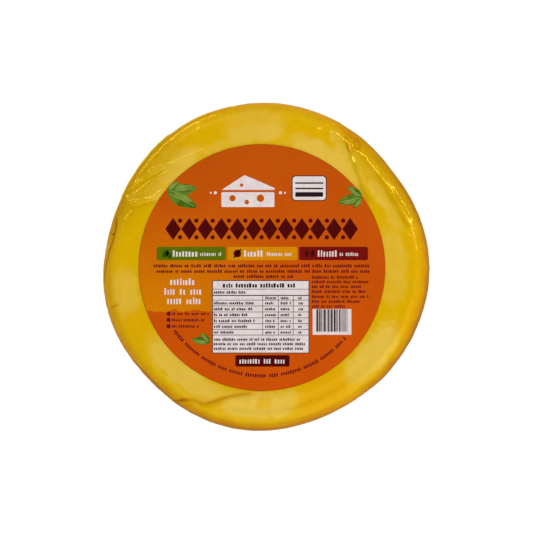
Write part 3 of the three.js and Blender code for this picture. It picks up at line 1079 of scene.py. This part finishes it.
def make_print():
    """Everything that is printed on the label, in plain shapes."""
    maroon = ink_material("maroon_ink", "#4E0806")
    white = ink_material("white_ink", "#E6DAD8", "#DDD1CF")
    black = ink_material("black_ink", "#231A1C")
    fine = ink_material("fine_print_ink", "#6A1416")

    # A band of lozenges and dots across the upper half
    left, right, y = -34.2, 33.4, 13.5
    band = lozenge_row(left, right, y, 12, 5.5, 7.8)
    band += [disc(0.75, mix(left + 2.35, right - 2.35, (i + 0.5) / 11), y + side * 2.9, sides=20)
             for i in range(11) for side in (-1, 1)]
    printed("title_band", band, maroon)

    # A white wedge of cheese near the top, with small dots beside it
    printed("wedge_front", [plate(18.6, 5.2, -5.2, 23.8, corner=0.5)], white)
    top = plate(1, 1, 0, 0)
    places = vertices_of(top.data)
    corners = np.array([(-14.4, 27.2), (4.1, 27.2), (-6.4, 32.4), (4.1, 27.9)])
    places[:, :2] = (np.array([PRINT_X, PRINT_Y]) + corners) * MM
    set_vertices(top.data, places)
    printed("wedge_top", [top], white)
    holes = [(1.1, -10.6, 24.3), (0.8, -5.6, 22.9), (1.3, -0.8, 24.3), (0.6, -7.4, 28.9)]
    orange = ink_material("label_orange_ink", "#C2540A")
    printed("wedge_holes", [disc(*hole, layer=2) for hole in holes], orange)
    dots = [(0.55, -16.6), (0.55, 6.2), (0.35, -18.2), (0.35, 7.8)]
    printed("side_dots", [disc(radius, x, 26.2) for radius, x in dots], white)

    # A plain panel with three bars, to the right of the wedge
    printed("date_panel_edge", [plate(12.2, 8.9, 16.3, 27.8, corner=1.3)], black)
    printed("date_panel", [plate(11.6, 8.3, 16.3, 27.8, corner=1.1, layer=2)], white)
    bars = [plate(9.8, 0.5, 16.3, y, layer=3) for y in (29.6, 27.7)]
    bars.append(plate(9.8, 1.6, 16.3, 25.6, corner=0.4, layer=3))
    printed("date_panel_bars", bars, black)

    # Three pills with a plain sign and bars in each
    pills = [("left_pill", ink_material("green_ink", "#5A6B03"), 24.2, -25.1),
             ("middle_pill", ink_material("amber_ink", "#D28704"), 24.5, -0.1),
             ("right_pill", ink_material("red_ink", "#74100B"), 24.2, 24.8)]
    for name, colour, width, x in pills:
        printed(name, [plate(width, 4.7, x, 4.9, corner=0.7)], colour)
    leaves = [leaf(3.4, 1.9, -34.0, 4.9, 55, layer=2), leaf(3.0, 1.7, -33.0, 4.4, 120, layer=2)]
    printed("left_pill_sign", leaves, ink_material("dark_green_ink", "#2C4A08"))
    barred = [disc(1.35, -8.9, 4.9, layer=2), plate(0.5, 3.9, -8.9, 4.9, layer=2, turn=-40)]
    printed("middle_pill_sign", barred, maroon)
    lozenges = lozenge_row(14.6, 18.4, 4.9, 2, 1.7, 3.0, layer=2)
    printed("right_pill_sign", lozenges, ink_material("dark_red_ink", "#4A0605"))
    words = [(-31.2, -22.6, 4.9, 2.2), (-21.8, -14.6, 4.7, 1.3), (-6.2, 0.6, 4.9, 2.2),
             (1.6, 10.6, 4.7, 1.3), (19.6, 26.0, 4.9, 2.2), (27.2, 34.6, 4.7, 1.3)]
    printed("pill_bars", text_bars(words, layer=2, width=0.28, gap=0.22), white)

    # Rows of fine bars, with small dots and larger bars at the left
    rows = [(-38.0, 38.0, 0.6, 1.15), (-37.0, 37.6, -1.3, 1.15), (-9.9, 10.4, -3.1, 1.15)]
    ends = [(-3.4, 33.3), (-5.0, 36.8), (-6.7, 34.8), (-8.4, 37.0), (-10.2, 36.8), (-11.9, 34.0),
            (-13.6, 29.0)]
    rows += [(17.5, right, y, 1.05) for y, right in ends]
    rows += [(-31.6, right, y, 1.0) for y, right in ((-16.2, -18.9), (-18.4, -20.8), (-20.6, -22.2))]
    printed("fine_print", text_bars(rows), fine)
    printed("small_signs", [disc(0.75, -33.0, y, sides=20) for y in (-16.2, -18.4, -20.6)], fine)
    words = [(-32.1, -23.4, -5.0, 2.3), (-34.2, -20.4, -8.4, 2.3), (-33.2, -21.6, -11.7, 2.3)]
    printed("slogan_bars", text_bars(words, width=0.26, gap=0.22), white)
    printed("curved_print", curved_bars(38.0, 216.0, 320.0), fine)

    # A table of plain rules and bars on a white panel
    printed("table_edge", [plate(34.0, 25.6, -0.7, -17.3)], black)
    printed("table_panel", [plate(33.5, 25.1, -0.7, -17.3, layer=2)], white)
    rules = [plate(33.5, 0.16, -0.7, -7.6, layer=3), plate(33.5, 0.32, -0.7, -9.8, layer=3)]
    rules += [plate(33.5, 0.18, -0.7, y, layer=3)
              for y in (-11.45, -13.5, -15.6, -17.65, -19.7, -21.7, -23.7)]
    rules += [plate(0.18, 14.0, x, -16.75, layer=3) for x in (0.0, 5.45, 10.7)]
    printed("table_rules", rules, black)
    cells = [(-13.6, 12.4, -6.3, 1.5), (-16.9, -6.2, -8.7, 0.95)]
    entries = [(-12.5, -3.4), (-14.55, -3.6), (-16.6, -5.6), (-18.7, -2.8), (-20.7, -5.6), (-22.7, -10.2)]
    cells += [(-16.9, right, y, 0.95) for y, right in entries]
    cells += [(x - half, x + half, y, 0.95) for y in (-10.7, -12.5, -14.55, -16.6, -18.7, -20.7, -22.7)
              for x, half in ((2.75, 1.7), (8.1, 1.6), (13.3, 0.6))]
    cells += [(-16.9, right, y, 0.95) for y, right in ((-25.2, 13.4), (-26.8, 14.9), (-28.4, 14.4))]
    printed("table_bars", text_bars(cells, layer=3), black)

    # A panel of plain stripes
    printed("stripe_panel", [plate(13.6, 9.0, 24.3, -19.1)], white)
    stripes = []
    x = 18.8
    while x < 29.6:
        wide = random.choice((0.22, 0.22, 0.42, 0.62))
        stripes.append(plate(wide, 7.8, x + wide / 2, -18.6, layer=2))
        x += wide + random.choice((0.2, 0.2, 0.38))
    printed("stripes", stripes, black)

    # A pill with bars at the foot
    printed("foot_pill", [plate(19.0, 4.0, -0.1, -32.75, corner=0.6)], maroon)
    printed("foot_pill_bars", text_bars([(-7.9, 8.2, -32.75, 1.9)], layer=2, width=0.28, gap=0.22), white)

    # Sprigs of small leaves, each on one stem: its foot, and the direction and length of each leaf
    sprigs = [(-33.6, 26.4, ((8, 10.4), (-27, 11.4), (42, 5.4))),
              (35.0, 24.6, ((192, 8.6), (144, 6.2), (228, 4.8))),
              (-18.2, -26.2, ((172, 6.6), (138, 4.6)))]
    leaves, lights, veins = [], [], []
    for x, y, blades in sprigs:
        for i, (turn, long) in enumerate(blades):
            a = math.radians(turn)
            reach = 0.5 * long + 0.3
            middle = (x + reach * math.cos(a), y + reach * math.sin(a))
            lit = (middle[0] - 0.09 * long * math.sin(a), middle[1] + 0.09 * long * math.cos(a))
            leaves.append(leaf(long, 0.42 * long, *middle, turn, layer=1 + 0.6 * i))
            lights.append(leaf(0.7 * long, 0.16 * long, *lit, turn, layer=1.6 + 0.6 * i))
            veins.append(plate(0.8 * long, 0.16, *middle, layer=1.7 + 0.6 * i, turn=turn))
    printed("sprig_leaves", leaves, ink_material("leaf_green_ink", "#3F6312", "#5F8028"))
    printed("sprig_lights", lights, ink_material("leaf_bright_ink", "#6E8835", "#7F9440"))
    printed("sprig_veins", veins, ink_material("leaf_vein_ink", "#A3B35F"))


# Floor, light and camera


# The camera looks straight down from this many metres over the girth, a little off the axis in millimetres,
# and its picture is this many millimetres wide at the girth
CAMERA_HEIGHT = 0.9
CAMERA_X = 0.04
CAMERA_Y = 0.12
FRAME_WIDTH_MM = 188.5
SENSOR = 36.0
# The studio's light all round and straight overhead
STUDIO_LIGHT = 0.55
OVERHEAD_LIGHT = 0.05


def soft_box(name, direction, elevation, distance, width, height, power):
    """A soft box that faces the wheel: its direction and elevation in degrees, its sizes in metres."""
    light = bpy.data.lights.new(name, "AREA")
    light.shape = "RECTANGLE"
    light.size = width
    light.size_y = height
    light.energy = power
    lamp = bpy.data.objects.new(name, light)
    a, e = math.radians(direction), math.radians(elevation)
    lamp.location = (distance * math.cos(a) * math.cos(e), distance * math.sin(a) * math.cos(e),
                     distance * math.sin(e))
    lamp.rotation_euler = lamp.location.to_track_quat("Z", "Y").to_euler()
    bpy.context.scene.collection.objects.link(lamp)


def make_stage():
    start_clean()
    bpy.ops.mesh.primitive_plane_add(size=6.0, location=(0, 0, 0))
    floor = settle(bpy.context.object, "floor")
    material, tree = new_material("white_paper_floor")
    surface = add(tree, "ShaderNodeBsdfPrincipled", {
        "Base Color": (0.05, 0.05, 0.05, 1), "Roughness": 0.9, "Specular IOR Level": 0.0,
        "Emission Color": (1, 1, 1, 1), "Emission Strength": 1.0})
    add(tree, "ShaderNodeOutputMaterial", {"Surface": surface.outputs[0]})
    floor.data.materials.append(material)

    make_world()
    soft_box("key", 37, 47, 1.0, 0.60, 0.06, 3.5)
    soft_box("left_glint", 132, 46, 1.0, 0.6, 0.055, 2.1)
    soft_box("front_fill", 285, 46, 1.6, 2.4, 1.6, 16.0)


def make_world():
    """A bright studio that is dark overhead, where the camera looks down."""
    world = bpy.data.worlds.new("studio")
    world.use_nodes = True
    tree = world.node_tree
    place = add(tree, "ShaderNodeTexCoord").outputs["Generated"]
    ramp = add(tree, "ShaderNodeValToRGB", {0: add(tree, "ShaderNodeSeparateXYZ", {0: place}).outputs[2]})
    stops = ramp.color_ramp.elements
    stops.new(0.78)
    stops[-1].position = 0.93
    for stop, level in zip(stops, (STUDIO_LIGHT, STUDIO_LIGHT, OVERHEAD_LIGHT)):
        stop.color = (level, level, level, 1)
    background = tree.nodes["Background"]
    tree.links.new(ramp.outputs[0], background.inputs["Color"])
    background.inputs["Strength"].default_value = 0.67
    bpy.context.scene.world = world


def make_camera():
    girth = HEIGHT - CROWN_DROP - SHOULDER_ROUND
    data = bpy.data.cameras.new("camera")
    data.sensor_width = SENSOR
    data.lens = SENSOR * CAMERA_HEIGHT / (FRAME_WIDTH_MM * MM)
    data.clip_end = 20
    camera = bpy.data.objects.new("camera", data)
    camera.location = (CAMERA_X * MM, CAMERA_Y * MM, girth * MM + CAMERA_HEIGHT)
    bpy.context.scene.collection.objects.link(camera)
    bpy.context.scene.camera = camera


random.seed(12)
make_camera()
paper = make_paper()
finish(paper, label_material())
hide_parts("label")
make_print()
film, cheese = make_wheel()
finish(film, shrink_film())
finish(cheese, provolone())
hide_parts("wrapped_cheese")
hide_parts("wrapped_cheese")
make_stage()
bpy.context.scene.view_settings.view_transform = "Standard"
bpy.context.scene.view_settings.look = "None"
